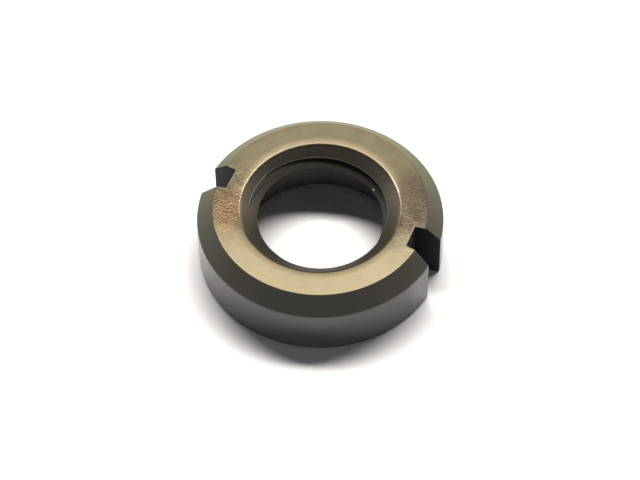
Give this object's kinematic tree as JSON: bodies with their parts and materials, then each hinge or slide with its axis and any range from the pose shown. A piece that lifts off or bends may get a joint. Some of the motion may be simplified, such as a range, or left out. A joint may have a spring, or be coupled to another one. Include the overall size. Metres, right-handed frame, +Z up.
{
  "type": "spring adjusting nut",
  "caption": "Low round nut with a fine central thread, a wide bevelled rim, a spring seat in its underside and opposite spanner notches milled through the rim.",
  "frame": {"origin": "on the nut's axis, in the plane of the underside that takes the spring", "axes": "+Z up along the axis, out of the countersunk top face; the two spanner notches lie on the X axis"},
  "size_m": [0.0138, 0.014, 0.0039],
  "materials": {
    "anodised_aluminium": "blasted and hard anodised, dark olive bronze, with a fine satin grain"
  },
  "bodies": {
    "root": {"spring_adjusting_nut": "anodised_aluminium"}
  },
  "joints": []
}
